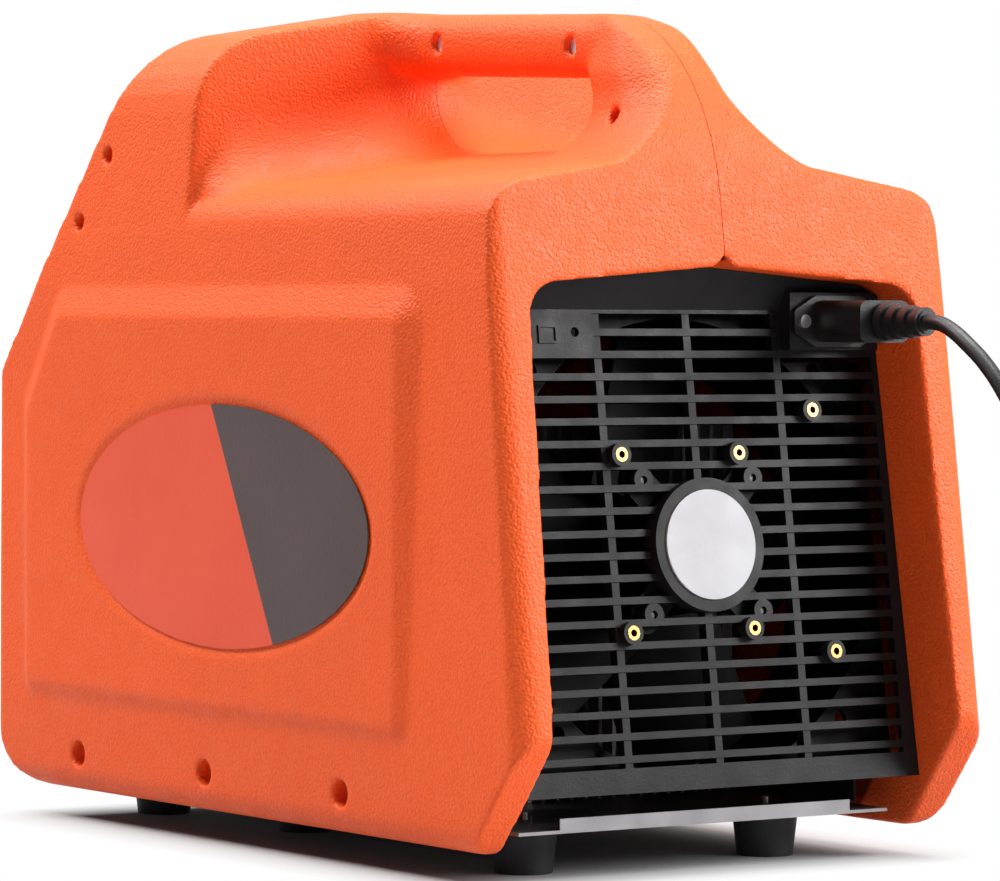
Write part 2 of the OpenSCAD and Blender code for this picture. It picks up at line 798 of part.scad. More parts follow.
module fan_rotor() {
    color("black") on_fan_end() difference() {
        union() {
            translate([0, 0, fan_face - fan_w]) difference() {
                cylinder(h = fan_w, r = hub_r);
                translate([0, 0, -1]) cylinder(h = fan_w - 4, r = hub_r - 2.5);
            }
            translate([0, 0, fan_face - fan_w]) cylinder(h = fan_w, r = fan_shaft_r + 5);
            intersection() {
                for (i = [0:blade_n - 1]) rotate([0, 0, 360 * i / blade_n]) blade();
                translate([0, 0, fan_face - fan_w]) difference() {
                    cylinder(h = fan_w, r = fan_r);
                    translate([0, 0, -1]) cylinder(h = fan_w + 2, r = hub_r - 1);
                }
            }
        }
        translate([0, 0, fan_face - fan_w - 1]) cylinder(h = fan_w + 2, r = fan_shaft_r + 0.01);
    }
}

// Cambered blade, pitched across the fan's width
module blade() {
    camber_r = 70;
    blade_t = 2.4;
    chord = 66;
    translate([hub_r - 2, 0, fan_face - fan_w / 2]) rotate([24, 0, 0])
        translate([0, 0, -camber_r + 4]) rotate([0, 90, 0])
        linear_extrude(fan_r - hub_r + 10) intersection() {
            difference() {
                circle(r = camber_r);
                circle(r = camber_r - blade_t);
            }
            translate([-camber_r - 5, -chord / 2]) square([camber_r, chord]);
        }
}

// Power inlet in its housing
module power_inlet() {
    color("black") on_inlet() difference() {
        union() {
            translate([0, 0, seat]) linear_extrude(flange_t) polygon(outline([
                [-13, -11.6, 2], [13, -11.6, 2], [25, -5, 2], [25, 5, 2],
                [13, 11.6, 2], [-13, 11.6, 2], [-25, 5, 2], [-25, -5, 2]
            ]));
            translate([-13.7, -9.7, -inlet_d]) cube([27.4, 19.4, inlet_d + 1]);
        }
        translate([0, 0, -socket_d]) linear_extrude(far) polygon(box_outline(24.6, 16.6, 2.5));
        for (s = [-1, 1]) translate([s * inlet_pitch / 2, 0, -1]) cylinder(h = far, r = 1.8);
        for (p = pin_spots) translate([p.x - 1.1, p.y - 2.1, -far / 2]) cube([2.2, 4.2, far]);
    }
}
module inlet_pins() {
    color("goldenrod") on_inlet() for (p = pin_spots)
        translate([p.x - 1, p.y - 2, -inlet_d - 8]) cube([2, 4, inlet_d + 6]);
}
module inlet_screws() {
    color("silver") on_inlet() for (s = [-1, 1])
        translate([s * inlet_pitch / 2, 0, flange_t + seat + 0.05]) screw(12, 1.5, 3, 1.8);
}

// Moulded connector on the end of the cord, with its ribbed strain relief
module cord_connector() {
    nose = 14;
    color("black") on_inlet() translate([0, 0, flange_t + fit]) difference() {
        union() {
            translate([0, 0, -nose]) linear_extrude(nose + 1) polygon(box_outline(23.8, 15.8, 2.4));
            linear_extrude(plug_l) polygon(box_outline(plug_w, plug_h, 4));
            translate([0, 0, plug_l - 0.5]) cylinder(h = relief_l + 0.5, r1 = 7, r2 = 5);
            for (i = [0:3]) translate([0, 0, plug_l + 2 + 7.5 * i]) cylinder(h = 4.6, r = 8.6 - 0.7 * i);
        }
        for (p = pin_spots) translate([p.x - 1.3, p.y - 2.3, -nose - 1]) cube([2.6, 4.6, 16]);
    }
}

// Points with each corner rounded to the bend radius r
function bend(a, b, c, r, n = 5) =
    let (
        u = unit(a - b),
        w = unit(c - b),
        half = acos(u * w) / 2,
        turn = 180 - 2 * half,
        o = b + unit(u + w) * r / sin(half),
        p = b + u * r / tan(half) - o,
        q = b + w * r / tan(half) - o
    )
    [for (i = [0:n]) o + r * unit(p * sin(turn * (n - i) / n) + q * sin(turn * i / n))];
function bent(p, r) = [
    p[0],
    for (i = [1:len(p) - 2]) each bend(p[i - 1], p[i], p[i + 1], r),
    p[len(p) - 1]
];

// Rings of a tube swept along a list of points
function tangent(p, i) = unit(p[min(i + 1, len(p) - 1)] - p[max(i - 1, 0)]);
function ring(c, t, r, sides) =
    let (u = unit(cross(t, abs(t.z) > 0.9 ? [1, 0, 0] : [0, 0, 1])), w = cross(u, t))
    [for (k = [0:sides - 1]) c + r * (cos(360 * k / sides) * u + sin(360 * k / sides) * w)];
module tube(points, r, sides = 10) {
    loft([for (i = [0:len(points) - 1]) ring(points[i], tangent(points, i), r, sides)]);
}
module pipe(points) {
    tube(bent(points, 4 * line_r), line_r, 12);
}
module power_cord() {
    color("black") {
        tube(cord_points, cord_r);
        tube(tail_points, cord_r);
    }
}
module cord_coil() {
    color("black") translate([coil_c.x, coil_c.y, 0.5])
        rotate_extrude() translate([coil_turn_r - coil_band / 2, 0])
        square([coil_band, coil_h]);
}
module mains_plug() {
    color("black") on_cord_end() {
        cylinder(h = 14, r1 = cord_r + 2, r2 = 8);
        translate([0, 0, 13.9]) cylinder(h = 10, r1 = 10, r2 = mains_r);
        translate([0, 0, 23.8]) cylinder(h = mains_l - 24, r = mains_r);
    }
}
module plug_pins() {
    color("silver") on_cord_end() for (s = [-1, 1])
        translate([0, s * 9.5, mains_l - 0.1]) cylinder(h = 19, r = 2.4);
}
module on_cord_end() {
    end = tail_points[len(tail_points) - 1];
    translate([end.x, end.y, mains_r + 0.3]) rotate([90, 0, 0]) rotate([0, 0, 90]) children();
}

// Base plate with side flanges, and a low lip at the fan end
module base_plate() {
    color("silver") difference() {
        union() {
            translate([-plate_half, plate_front + tongue, foot_h])
                cube([2 * plate_half, plate_rear - plate_front - 2 * tongue, plate_t]);
            translate([-tongue_half, plate_front, foot_h])
                cube([2 * tongue_half, plate_rear - plate_front, plate_t]);
            translate([-lip_half, plate_rear - plate_t, foot_h]) cube([2 * lip_half, plate_t, lip_h]);
            for (s = [0, 1]) mirror([s, 0, 0]) translate([plate_half - plate_t, plate_front + tongue, foot_h])
                cube([plate_t, plate_rear - plate_front - 2 * tongue, flange_h]);
        }
        for (y = skirt_screw_y) rod_x(-far / 2, far / 2, y, skirt_screw_z, screw_hole_r);
        for (p = foot_spots) translate([p.x, p.y, 0]) cylinder(h = far, r = screw_hole_r);
    }
}
module feet() {
    color("black") for (p = foot_spots) translate([p.x, p.y, 0]) difference() {
        cylinder(h = foot_h, r1 = foot_r - 2.5, r2 = foot_r);
        translate([0, 0, -1]) cylinder(h = 9, r = 6);
        cylinder(h = far, r = screw_hole_r);
    }
}
module foot_screws() {
    color("silver") for (p = foot_spots) translate([p.x, p.y, 7.95]) rotate([180, 0, 0]) screw(foot_h - 3);
}

// Control panel: an upright face in a recess and a sloped face above it
module front_panel() {
    color("dimgray") difference() {
        union() {
            intersection() {
                along_y(-far, far) polygon(inset(front_open, fit));
                union() {
                    translate([-half_w, face_y, 0]) cube([body_w, panel_t, step_z]);
                    translate([-half_w, face_y - face_d, step_z - panel_t])
                        cube([body_w, face_d + panel_t, panel_t]);
                    on_slope() translate([-half_w, -far / 2, -panel_t]) cube([body_w, far, panel_t]);
                }
                panel_depth();
            }
            intersection() {
                along_y(-far, far) difference() {
                    polygon(inset(front_open, fit));
                    polygon(inset(front_open, fit + panel_t));
                }
                panel_depth();
            }
        }
        translate([-half_w, -far / 2, 0]) cube([body_w, far, panel_low_z]);
        on_slope() slope_holes();
        on_face() face_holes();
        for (s = [0, 1]) mirror([s, 0, 0]) for (p = slope_screws) rod_x(0, far, p.x, p.y, screw_hole_r);
    }
}
module panel_depth() {
    difference() {
        translate([0, recess, 0]) along_x(-half_w, half_w) polygon(side_profile);
        translate([0, face_d + panel_t, 0]) along_x(-far, far) polygon(side_profile);
    }
}
module slope_holes() {
    for (s = [-1, 1]) translate([s * gauge_x, gauge_u, -far / 2]) cylinder(h = far, r = gauge_r + fit);
    translate([-switch_x - 9.5, switch_u - 13.5, -20]) cube([19, 27, 40]);
    translate([switch_x, switch_u, -20]) cylinder(h = 40, r = 6.3);
}
module face_holes() {
    for (s = [-1, 1]) {
        translate([s * port_x, port_z, -20]) cylinder(h = 40, r = port_r + 3.8);
        translate([s * port_x, valve_z, -20]) cylinder(h = 40, r = stem_r + fit);
    }
    translate([0, mode_z, -20]) cylinder(h = 40, r = stem_r + fit);
}

// Pressure gauges: cup and bezel, dial, needle and lens
module gauge_cases() {
    color("black") on_slope() for (s = [-1, 1]) translate([s * gauge_x, gauge_u, 0]) difference() {
        union() {
            translate([0, 0, -gauge_d]) cylinder(h = gauge_d + 1, r = gauge_r);
            translate([0, 0, seat]) cylinder(h = bezel_h, r = gauge_r + 3);
        }
        translate([0, 0, -gauge_d + 2]) cylinder(h = far, r = gauge_r - 2);
    }
}
module gauge_dials() {
    color("white") on_slope() for (s = [-1, 1]) translate([s * gauge_x, gauge_u, -gauge_d + 2]) {
        cylinder(h = gauge_d - 4, r = gauge_r - 4);
        translate([0, 0, gauge_d - 4.1]) cylinder(h = dial_t + 0.1, r = gauge_r - 2 - fit);
    }
}
module gauge_lenses() {
    color("lightblue", 0.4) on_slope() for (s = [-1, 1]) translate([s * gauge_x, gauge_u, bezel_h - 2])
        cylinder(h = 1.5, r = gauge_r - 2 - 0.1);
}
module needle(x) {
    on_slope() translate([x, gauge_u, dial_t - 2 + fit]) rotate([0, 0, 225]) {
        cylinder(h = 2.6, r = 3);
        translate([-8, -0.9, 0.6]) cube([gauge_r + 2, 1.8, 0.8]);
    }
}
module low_needle() {
    color("black") needle(-gauge_x);
}
module high_needle() {
    color("red") needle(gauge_x);
}

// Knobs with their stems, which turn in the valve block
module knob(x, z, r, bar) {
    depth = panel_t + fit + 14;
    on_face() translate([x, z, 0]) {
        translate([0, 0, -depth]) cylinder(h = depth + 2, r = stem_r);
        translate([0, 0, 1.5]) difference() {
            union() {
                cylinder(h = 3, r = r + 1.5);
                cylinder(h = knob_h, r = r);
            }
            for (i = [0:11]) rotate([0, 0, 30 * i]) translate([r + 2.2, 0, 4]) cylinder(h = knob_h, r = 3.4);
        }
        translate([-bar / 2, -r + 3, knob_h]) cube([bar, 2 * r - 6, 4]);
    }
}
module mode_knob() {
    color("black") knob(0, mode_z, mode_r, 7);
}
module inlet_knob() {
    color("royalblue") knob(-port_x, valve_z, knob_r, 5);
}
module outlet_knob() {
    color("red") knob(port_x, valve_z, knob_r, 5);
}
module valve_block() {
    color("silver") on_face() difference() {
        translate([-block_w / 2, block_low, -panel_t - fit - block_d])
            cube([block_w, block_top - block_low, block_d]);
        for (s = [-1, 1]) {
            translate([s * port_x, port_z, -panel_t - fit - 15]) cylinder(h = far, r = port_r + 0.1);
            translate([s * port_x, valve_z, -panel_t - fit - 15]) cylinder(h = far, r = stem_r + run_fit);
        }
        translate([0, mode_z, -panel_t - fit - 15]) cylinder(h = far, r = stem_r + run_fit);
    }
}
module port(x) {
    color("goldenrod") on_face() translate([x, port_z, 0]) difference() {
        union() {
            translate([0, 0, -panel_t - fit - 14.5]) cylinder(h = 16 + panel_t, r = port_r);
            translate([0, 0, -panel_t]) cylinder(h = panel_t + 7, r = port_r + 3.5, $fn = 6);
            cylinder(h = 7 + port_l, r = port_r);
        }
        translate([0, 0, -panel_t - 10]) cylinder(h = far, r = port_r - 2.6);
    }
}
module inlet_port() {
    port(-port_x);
}
module outlet_port() {
    port(port_x);
}

// Rocker switch and breaker on the sloped face
module switch_frame() {
    color("black") on_slope() translate([-switch_x, switch_u, 0]) difference() {
        union() {
            translate([-11.5, -15.5, seat]) cube([23, 31, 2.5]);
            translate([-9.2, -13.2, -24]) cube([18.4, 26.4, 25]);
        }
        translate([-7.5, -11.5, -10]) cube([15, 23, 40]);
        translate([-12, 0, -1.5]) rotate([0, 90, 0]) cylinder(h = 24, r = 1.5 + run_fit);
    }
}
module rocker_switch() {
    color("red") on_slope() translate([-switch_x, switch_u, -1.5]) rotate([rocker_a, 0, 0]) {
        intersection() {
            translate([-7.2, 0, -14]) rotate([0, 90, 0]) cylinder(h = 14.4, r = 20.5);
            translate([-7.2, -10.4, 0]) cube([14.4, 20.8, 10]);
        }
        translate([-9, 0, 0]) rotate([0, 90, 0]) cylinder(h = 18, r = 1.5);
    }
}
module breaker_body() {
    color("black") on_slope() translate([switch_x, switch_u, 0]) difference() {
        union() {
            translate([0, 0, -26]) cylinder(h = 27, r = 6);
            translate([0, 0, seat]) cylinder(h = 3, r = 9, $fn = 6);
        }
        translate([0, 0, -12]) cylinder(h = far, r = 3.8);
    }
}
module reset_button() {
    color("red") on_slope() translate([switch_x, switch_u, -4]) cylinder(h = 12, r = 3.5);
}

// Compressor set on its tray
module compressor_motor() {
    color("black") difference() {
        union() {
            translate([0, comp_y + motor_l, axis_z]) rotate([90, 0, 0]) cylinder(h = motor_l, r = motor_r);
            for (i = [0:4])
                translate([0, comp_y + 18 + i * 11, axis_z]) rotate([90, 0, 0])
                    cylinder(h = 5, r = motor_r + 3);
        }
        for (i = [0:7]) translate([0, comp_y + 2, axis_z]) rotate([90, 0, 0]) rotate([0, 0, 45 * i])
            translate([motor_r * 0.6, 0, -1]) cylinder(h = 10, r = 6);
    }
    color("black") translate([-30, comp_y + 10, tray_z + tray_t + fit])
        cube([60, motor_l - 20, axis_z - tray_z - tray_t - motor_r + 6]);
}
module crankcase() {
    color("silver") difference() {
        union() {
            translate([-case_w / 2, case_y, axis_z - case_w / 2 + 6]) cube([case_w, case_l, case_w - 12]);
            translate([-case_w / 2 - 8, case_y + 6, tray_z + tray_t + fit])
                cube([case_w + 16, case_l - 12, 8]);
            translate([-26, case_y + 10, tray_z + tray_t + fit]) cube([52, case_l - 20, case_w / 2]);
        }
        for (s = [-1, 1]) translate([0, case_y + case_l / 2, axis_z]) rotate([0, s * 45, 0])
            translate([0, 0, cyl_base]) translate([-50, -60, 0]) cube([100, 120, 80]);
    }
}
module v_twin() {
    for (s = [-1, 1]) translate([0, case_y + case_l / 2, axis_z]) rotate([0, s * 45, 0]) children();
}
module cylinders() {
    color("lightgray") v_twin() translate([0, 0, cyl_base + fit]) {
        cylinder(h = cyl_l, r = cyl_r);
        for (i = [0:4]) translate([0, 0, 4 + i * 8]) cylinder(h = 3, r = cyl_r + 6);
    }
}
module cylinder_heads() {
    color("silver") v_twin() translate([0, 0, cyl_base + cyl_l + 2 * fit]) {
        linear_extrude(head_t) polygon(box_outline(head_w, head_w, 6));
        for (i = [-2:2]) translate([-head_w / 2 + 3, i * 10 - 1.5, head_t - 0.1]) cube([head_w - 6, 3, 6]);
    }
}
module compressor_tray() {
    color("silver") translate([-tray_half, comp_y + 4, tray_z])
        cube([2 * tray_half, motor_l + case_l - 8, tray_t]);
}
module rubber_mounts() {
    color("black") for (s = [-1, 1], y = [comp_y + 18, case_y + case_l - 18])
        translate([s * (tray_half - mount_r), y, deck_z + seat])
            cylinder(h = tray_z - deck_z - 2 * seat, r = mount_r);
}

// Finned condenser in the air path
module condenser_core() {
    n = floor((condenser_w - 8) / fin_gap);
    color("lightgray") translate([-condenser_w / 2, condenser_y, deck_z + fit]) difference() {
        cube([condenser_w, condenser_t, condenser_h]);
        for (i = [0:n - 1])
            translate([6 + i * fin_gap, condenser_t - 9, -1]) cube([fin_gap - 2, 20, condenser_h + 2]);
    }
}
module condenser_tubes() {
    bend_r = 11;
    color("peru") for (s = [-1, 1], i = [0:4])
        translate([s * (condenser_w / 2 + fit), condenser_y + 9, deck_z + 30 + i * 30 + (s > 0 ? 11 : 0)])
            rotate([90, 0, s > 0 ? 0 : 180])
            rotate([0, 0, -90]) rotate_extrude(angle = 180) translate([bend_r, 0]) circle(r = tube_r);
}
module suction_line() {
    rise = valve_z + 12;
    color("peru") pipe([
        [-port_x, block_back, rise], [-port_x, block_back + 16, rise],
        [-head_mid, block_back + 44, axis_z + head_mid],
        [-head_mid, head_y - head_w / 2 - seat, axis_z + head_mid]
    ]);
}
module discharge_line() {
    drop = deck_z + condenser_h - 24;
    top = axis_z + head_mid;
    start = head_y + head_w / 2;
    run = 0.3 * (condenser_y - start);
    color("peru") pipe([
        [head_mid, start + seat, top], [head_mid, start + run, top],
        [line_x, condenser_y - run, drop], [line_x, condenser_y - seat, drop]
    ]);
}
module condenser_line() {
    low = deck_z + 20;
    color("peru") pipe([
        [line_x, condenser_y - seat, low], [line_x, block_back + 36, low],
        [port_x, block_back + 14, block_low + 10], [port_x, block_back, block_low + 10]
    ]);
}
module on_capacitor() {
    translate([-cap_x, cap_y, deck_z]) children();
}
module capacitor() {
    color("white") on_capacitor() translate([0, 0, fit]) {
        cylinder(h = cap_l, r = cap_r);
        for (s = [-1, 1]) translate([-3, s * 7 - 0.5, cap_l - 0.1]) cube([6, 1, 9]);
    }
}
module capacitor_clamp() {
    clamp_h = 14;
    foot_l = 2 * cap_r + 28;
    color("silver") on_capacitor() difference() {
        union() {
            translate([0, 0, seat]) cylinder(h = clamp_h, r = cap_r + fit + clamp_t);
            translate([-7, -foot_l / 2, seat]) cube([14, foot_l, clamp_t]);
        }
        translate([0, 0, -1]) cylinder(h = clamp_h + 2, r = cap_r + fit);
        for (s = [-1, 1]) translate([0, s * (foot_l / 2 - 6), -1]) cylinder(h = far, r = screw_hole_r);
    }
}
module pressure_switch() {
    color("black") translate([-34, face_y + panel_t + fit + block_d / 2, block_top + seat]) {
        cylinder(h = 12, r = 7);
        translate([0, 0, 11.9]) cylinder(h = 14, r = 9.5);
    }
}

left_shell();
right_shell();
shell_screws();
side_label();
rear_grille();
hub_disc();
brass_inserts();
fan_shroud();
shroud_screws();
fan_motor();
motor_screws();
fan_shaft();
fan_rotor();
power_inlet();
inlet_pins();
inlet_screws();
cord_connector();
power_cord();
cord_coil();
mains_plug();
plug_pins();
base_plate();
feet();
foot_screws();
front_panel();
gauge_cases();
gauge_dials();
gauge_lenses();
low_needle();
high_needle();
mode_knob();
inlet_knob();
outlet_knob();
valve_block();
inlet_port();
outlet_port();
switch_frame();
rocker_switch();
breaker_body();
reset_button();
crankcase();
cylinders();
cylinder_heads();
compressor_motor();
compressor_tray();
rubber_mounts();
condenser_core();
condenser_tubes();
suction_line();
discharge_line();
condenser_line();
capacitor();
capacitor_clamp();
pressure_switch();
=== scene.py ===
"""Looks of a portable refrigerant recovery machine in an orange moulded case, seen from its fan end."""
import math

import bmesh
import bpy
from mathutils import Matrix, Vector


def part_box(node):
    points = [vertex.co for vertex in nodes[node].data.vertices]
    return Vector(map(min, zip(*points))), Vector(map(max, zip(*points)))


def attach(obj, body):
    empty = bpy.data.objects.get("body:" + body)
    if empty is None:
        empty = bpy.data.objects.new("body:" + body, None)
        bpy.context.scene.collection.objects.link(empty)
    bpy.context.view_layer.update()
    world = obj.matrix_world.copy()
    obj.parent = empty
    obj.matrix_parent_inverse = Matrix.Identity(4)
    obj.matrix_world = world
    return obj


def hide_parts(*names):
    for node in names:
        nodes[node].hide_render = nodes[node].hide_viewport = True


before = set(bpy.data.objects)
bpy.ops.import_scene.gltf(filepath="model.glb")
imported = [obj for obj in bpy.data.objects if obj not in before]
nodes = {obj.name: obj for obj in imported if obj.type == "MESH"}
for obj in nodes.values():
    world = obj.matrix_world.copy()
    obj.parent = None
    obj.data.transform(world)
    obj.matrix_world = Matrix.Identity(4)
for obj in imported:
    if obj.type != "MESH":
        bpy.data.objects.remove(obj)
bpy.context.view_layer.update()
scene = bpy.context.scene
scene.view_settings.view_transform = "Standard"

# Case, in metres: seam, mesh fineness and rounds of smoothing that give the radii of a moulding
SEAM_GAP = 0.0004
SKIN_VOXEL = 0.0013
SKIN_KEEP = 0.25
EDGE_ROUNDS = 5
HANDLE_ROUNDS = 36
SHARP_ANGLE = math.radians(50)
CUT_TOLERANCE = 0.00001

# Where the larger radii of the handle begin and end, and the screw cups (y, z) that keep their edges
HANDLE_RISE = (0.296, 0.322)
HANDLE_FRONT = (-0.075, -0.045)
HANDLE_END = 0.205
HANDLE_FADE = 0.02
HANDLE_CUPS = [(-0.0044, 0.377), (0.106, 0.3715), (0.1576, 0.337)]
CUP_EDGE = (0.0065, 0.013)

# Thin wall at the foot of the handle's post, and how far its backing lies below it
FOOT_BOX = (Vector((0, 0.06, 0.285)), Vector((0, 0.196, 0.331)))
FOOT_BACKING = (0.0012, 0.0024)

# Recess round the label, and the slanted line that parts the label's two colours
LABEL_RIM = 0.0035
LABEL_DROP = 0.0007
OVAL_SIDES = 180
OVAL_REACH = 0.01
LABEL_SLANT = 0.502
LABEL_SPLIT = 0.0872
LABEL_BLUR = 0.0003

# Marks on the dials and the knobs: angles in degrees, (length, width) of the marks in metres
MARK_LIFT = 0.00008
DIAL_FLATNESS = 0.0001
SCALE_START, SCALE_SWEEP = 225, 270
SCALE_STEPS, FINE_STEPS = 9, 5
SCALE_R = 0.0285
LARGE_MARK = (0.0042, 0.0007)
SMALL_MARK = (0.0024, 0.0004)
NUMERAL_R, NUMERAL_H = 0.0205, 0.0046
POINTER_W = 0.0016
POINTER_START, POINTER_END = 0.002, 0.006

# Camera at the photograph's place
CAMERA_SENSOR = 36
CAMERA_LENS = 175.95
CAMERA_FAR = 50
CAMERA_SPOT = Vector((1.3178, 1.9242, 0.2485))
CAMERA_AIM = Vector((-0.00733, 0.01675, 0.18875))
CAMERA_ROLL = math.radians(0.23)

# Cord: diameter in metres; route in millimetres, from the connector to the floor, round a coil, to the plug
MM = 0.001
CORD_D = 0.007
ROUTE_MM = [
    (-78, 247.7, 246.1), (-78, 252, 246), (-78, 258, 245), (-78, 266, 241.8), (-78, 275, 236.5),
    (-79, 286, 228), (-80, 298, 215), (-82, 309, 197), (-84, 318, 173), (-86, 325, 145), (-88, 330, 115),
    (-90, 334, 85), (-92, 338, 58), (-94, 344, 34), (-97, 354, 15), (-99, 366, 6), (-100.3, 378, 4),
]
TAIL_MM = [
    (-199.7, 378, 11), (-199.7, 360, 11.5), (-199.7, 340, 14), (-199.7, 322, 17.5), (-199.7, 308, 18.8),
    (-199.7, 294, 18.8),
]
COIL_CENTRE_MM = (-150, 378)
COIL_TURNS = 4.5
COIL_STEPS = 20
COIL_R = 35.5
COIL_SPREAD = 9
COIL_EXIT = 5.2
COIL_EXIT_FROM = 0.8
LOW_LAYER, LAYER_RISE = 4, 7
LAYER_CHANGE = (0.42, 0.58)

# Floor and backdrop: half the floor's width, the ground under the machine and where it turns white
FLOOR_HALF = 8.0
FLOOR_GREY = (0.5, 0.5, 0.5, 1)
FOOTPRINT = (0.11, 0.17, 0)
WHITE_FROM = 0.05
BACKDROP_WAY = (-0.56, -0.82, 0)


# Materials

def linear(r, g, b):
    """Colour written as 0 to 255 screen values, as the shader takes it."""
    def channel(v):
        v /= 255
        return v / 12.92 if v <= 0.04045 else ((v + 0.055) / 1.055) ** 2.4
    return (channel(r), channel(g), channel(b), 1)


def shade(colour, factor):
    return (colour[0] * factor, colour[1] * factor, colour[2] * factor, 1)


class Look:
    """A procedural material with its node tree and shader at hand."""

    def __init__(self, name, colour, roughness=0.5, metallic=0.0, specular=0.5):
        self.material = bpy.data.materials.new(name)
        self.material.use_nodes = True
        self.tree = self.material.node_tree
        self.shader = self.tree.nodes["Principled BSDF"]
        self.shader.inputs["Base Color"].default_value = colour
        self.shader.inputs["Roughness"].default_value = roughness
        self.shader.inputs["Metallic"].default_value = metallic
        self.shader.inputs["Specular IOR Level"].default_value = specular
        self.place = self.node("ShaderNodeTexCoord").outputs["Object"]

    def node(self, kind, **values):
        made = self.tree.nodes.new(kind)
        for key, value in values.items():
            setattr(made, key, value)
        return made

    def link(self, a, b):
        self.tree.links.new(a, b)

    def stretched(self, stretch):
        """The place on the piece, drawn out along an axis where a stretch is given."""
        if stretch is None:
            return self.place
        made = self.node("ShaderNodeMapping")
        made.inputs["Scale"].default_value = stretch
        self.link(self.place, made.inputs["Vector"])
        return made.outputs["Vector"]

    def noise(self, scale, detail=3.0, rough=0.55, stretch=None):
        made = self.node("ShaderNodeTexNoise")
        made.inputs["Scale"].default_value = scale
        made.inputs["Detail"].default_value = detail
        made.inputs["Roughness"].default_value = rough
        self.link(self.stretched(stretch), made.inputs["Vector"])
        return made.outputs["Fac"]

    def cells(self, scale):
        """Distance to the middle of the nearest cell, for pebbled skins."""
        made = self.node("ShaderNodeTexVoronoi", feature="SMOOTH_F1")
        made.inputs["Scale"].default_value = scale
        made.inputs["Smoothness"].default_value = 0.6
        self.link(self.place, made.inputs["Vector"])
        return made.outputs["Distance"]

    def span(self, value, low, high, to_low=0.0, to_high=1.0):
        """A value mapped from one range to another and held at its ends."""
        made = self.node("ShaderNodeMapRange")
        for key, v in (("From Min", low), ("From Max", high), ("To Min", to_low), ("To Max", to_high)):
            made.inputs[key].default_value = v
        self.link(value, made.inputs["Value"])
        return made.outputs["Result"]

    def mix(self, fac, a, b):
        """Mix of two colours, each a tuple or a socket."""
        made = self.node("ShaderNodeMix", data_type="RGBA")
        self.link(fac, made.inputs[0])
        for socket, value in ((made.inputs[6], a), (made.inputs[7], b)):
            if isinstance(value, tuple):
                socket.default_value = value
            else:
                self.link(value, socket)
        return made.outputs[2]

    def colour(self, socket):
        self.link(socket, self.shader.inputs["Base Color"])

    def rough(self, socket):
        self.link(socket, self.shader.inputs["Roughness"])

    def bump(self, height, distance):
        made = self.node("ShaderNodeBump")
        made.inputs["Strength"].default_value = 1.0
        made.inputs["Distance"].default_value = distance
        self.link(height, made.inputs["Height"])
        self.link(made.outputs["Normal"], self.shader.inputs["Normal"])


def moulding(name, colour, pebble=760, depth=0.00045, rough=0.5):
    """Moulded plastic with a pebbled skin, with painted shade darkening the hollows between the pebbles."""
    look = Look(name, colour, rough, specular=0.3)
    pebbles = look.cells(pebble)
    drift = look.noise(7, 2)
    tone = look.mix(look.span(drift, 0.3, 0.7), shade(colour, 0.95), shade(colour, 1.03))
    # painted shade: the colour falls to 0.7 of the base in the hollows between the pebbles, where shade
    # would lie
    pebble_hollow_shade = look.span(pebbles, 0.25, 0.65, 0, 0.3)
    look.colour(look.mix(pebble_hollow_shade, tone, shade(colour, 0.7)))
    look.rough(look.span(look.noise(60, 3), 0.3, 0.7, rough - 0.05, rough + 0.08))
    look.bump(look.span(pebbles, 0, 1, 1, 0), depth)
    return look.material


def satin(name, colour, rough=0.42, grain=900, depth=0.00008, wear=1.25, specular=0.5):
    """Smooth moulded plastic or paint with a faint grain and slightly paler patches."""
    look = Look(name, colour, rough, specular=specular)
    patches = look.span(look.noise(25, 4), 0.35, 0.7)
    look.colour(look.mix(patches, shade(colour, 0.92), shade(colour, wear)))
    look.rough(look.span(look.noise(90, 4), 0.3, 0.7, rough - 0.06, rough + 0.1))
    look.bump(look.noise(grain, 2), depth)
    return look.material


def metal(name, colour, rough=0.3, brushed=(1, 1, 1), scale=400):
    """Bare metal with fine brushing."""
    look = Look(name, colour, rough, 1.0)
    lines = look.noise(scale, 4, 0.6, brushed)
    look.rough(look.span(lines, 0.25, 0.75, rough - 0.08, rough + 0.14))
    look.colour(look.mix(look.span(look.noise(30, 3), 0.3, 0.7), shade(colour, 0.86), colour))
    look.bump(lines, 0.00004)
    return look.material


def glass_look():
    look = Look("clear_lens", (0.95, 0.97, 0.98, 1), 0.04)
    look.shader.inputs["Transmission Weight"].default_value = 1
    look.shader.inputs["IOR"].default_value = 1.45
    look.bump(look.noise(20, 2), 0.00001)
    return look.material


def label_look():
    """Bare two-tone oval: orange-red towards the front, dark towards the fan end, split on a slant."""
    look = Look("two_tone_label", linear(223, 107, 84), 0.38, specular=0.25)
    split = look.node("ShaderNodeSeparateXYZ")
    look.link(look.place, split.inputs[0])
    slant = look.node("ShaderNodeMath", operation="MULTIPLY_ADD")
    slant.inputs[1].default_value = LABEL_SLANT
    look.link(split.outputs["Z"], slant.inputs[0])
    look.link(split.outputs["Y"], slant.inputs[2])
    side = look.span(slant.outputs[0], LABEL_SPLIT - LABEL_BLUR, LABEL_SPLIT + LABEL_BLUR)
    fade = look.span(look.noise(14, 3), 0.3, 0.7)
    warm = look.mix(fade, linear(222, 78, 50), linear(228, 86, 56))
    dark = look.mix(fade, linear(78, 63, 63), linear(86, 69, 69))
    look.colour(look.mix(side, warm, dark))
    look.bump(look.cells(430), 0.00008)
    return look.material


